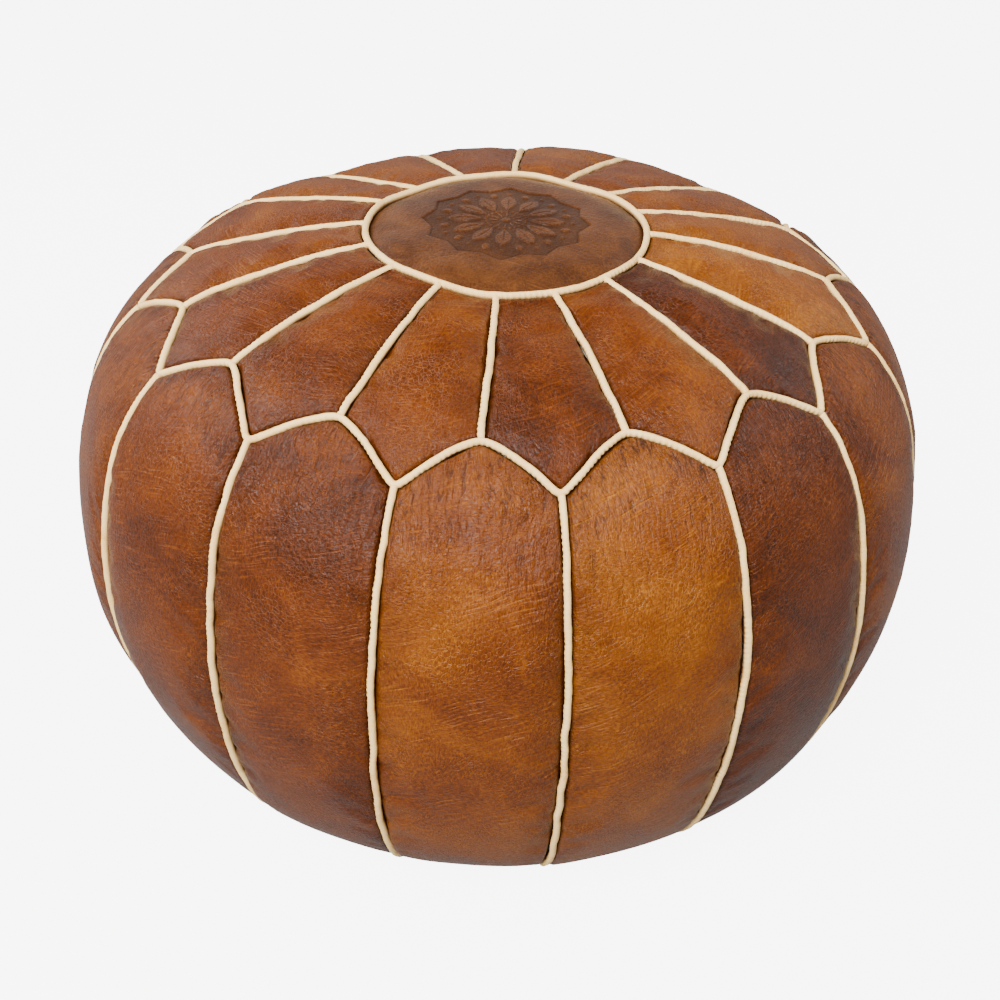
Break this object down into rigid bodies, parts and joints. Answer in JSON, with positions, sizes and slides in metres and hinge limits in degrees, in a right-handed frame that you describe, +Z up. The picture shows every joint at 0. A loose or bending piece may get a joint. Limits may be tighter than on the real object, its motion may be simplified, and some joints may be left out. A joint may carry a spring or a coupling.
{
  "type": "leather pouf",
  "caption": "Round stuffed leather floor pouf with petal-shaped top panels round an embossed medallion, raised contrast piping on every seam and a zip across the base.",
  "frame": {"origin": "on the floor under the middle of the pouf", "axes": "+Z up through the medallion, +X along the zip towards the end where its slider rests, -Y the side seen in front"},
  "size_m": [0.53, 0.53, 0.35],
  "materials": {
    "cover_leather": "hand-dyed, waxed",
    "medallion_leather": "embossed, dark",
    "base_leather": "hand-dyed, matt",
    "piping_leather": "undyed, matt",
    "bag_cotton": "unbleached calico",
    "stuffing": "loose cotton wadding",
    "zip_tape": "woven",
    "zip_metal": "aged"
  },
  "bodies": {
    "pouf": {"medallion": "medallion_leather", "petal_01": "cover_leather", "petal_02": "cover_leather", "petal_03": "cover_leather", "petal_04": "cover_leather", "petal_05": "cover_leather", "petal_06": "cover_leather", "petal_07": "cover_leather", "petal_08": "cover_leather", "petal_09": "cover_leather", "petal_10": "cover_leather", "petal_11": "cover_leather", "petal_12": "cover_leather", "petal_13": "cover_leather", "petal_14": "cover_leather", "petal_15": "cover_leather", "petal_16": "cover_leather", "side_panel_01": "cover_leather", "side_panel_02": "cover_leather", "side_panel_03": "cover_leather", "side_panel_04": "cover_leather", "side_panel_05": "cover_leather", "side_panel_06": "cover_leather", "side_panel_07": "cover_leather", "side_panel_08": "cover_leather", "side_panel_09": "cover_leather", "side_panel_10": "cover_leather", "side_panel_11": "cover_leather", "side_panel_12": "cover_leather", "side_panel_13": "cover_leather", "side_panel_14": "cover_leather", "side_panel_15": "cover_leather", "side_panel_16": "cover_leather", "medallion_piping": "piping_leather", "petal_piping": "piping_leather", "zigzag_piping": "piping_leather", "side_piping": "piping_leather", "base_piping": "piping_leather", "base_half_left": "base_leather", "base_half_right": "base_leather", "cotton_bag": "bag_cotton", "filling": "stuffing", "zip_tape_left": "zip_tape", "zip_tape_right": "zip_tape", "zip_teeth_left": "zip_metal", "zip_teeth_right": "zip_metal", "zip_top_stops": "zip_metal", "zip_bottom_stop": "zip_metal"},
    "slider": {"zip_slider": "zip_metal"},
    "pull": {"zip_pull": "zip_metal"}
  },
  "joints": [
    {"name": "zip_slide", "type": "slide", "parent": "pouf", "child": "slider", "axis": [-1, 0, 0], "range_m": [0, 0.169]},
    {"name": "pull_hinge", "type": "hinge", "parent": "slider", "child": "pull", "pos_m": [0.0845, 0, 0.0102], "axis": [0, -1, 0], "range_deg": [-19.4, 160.6]}
  ]
}
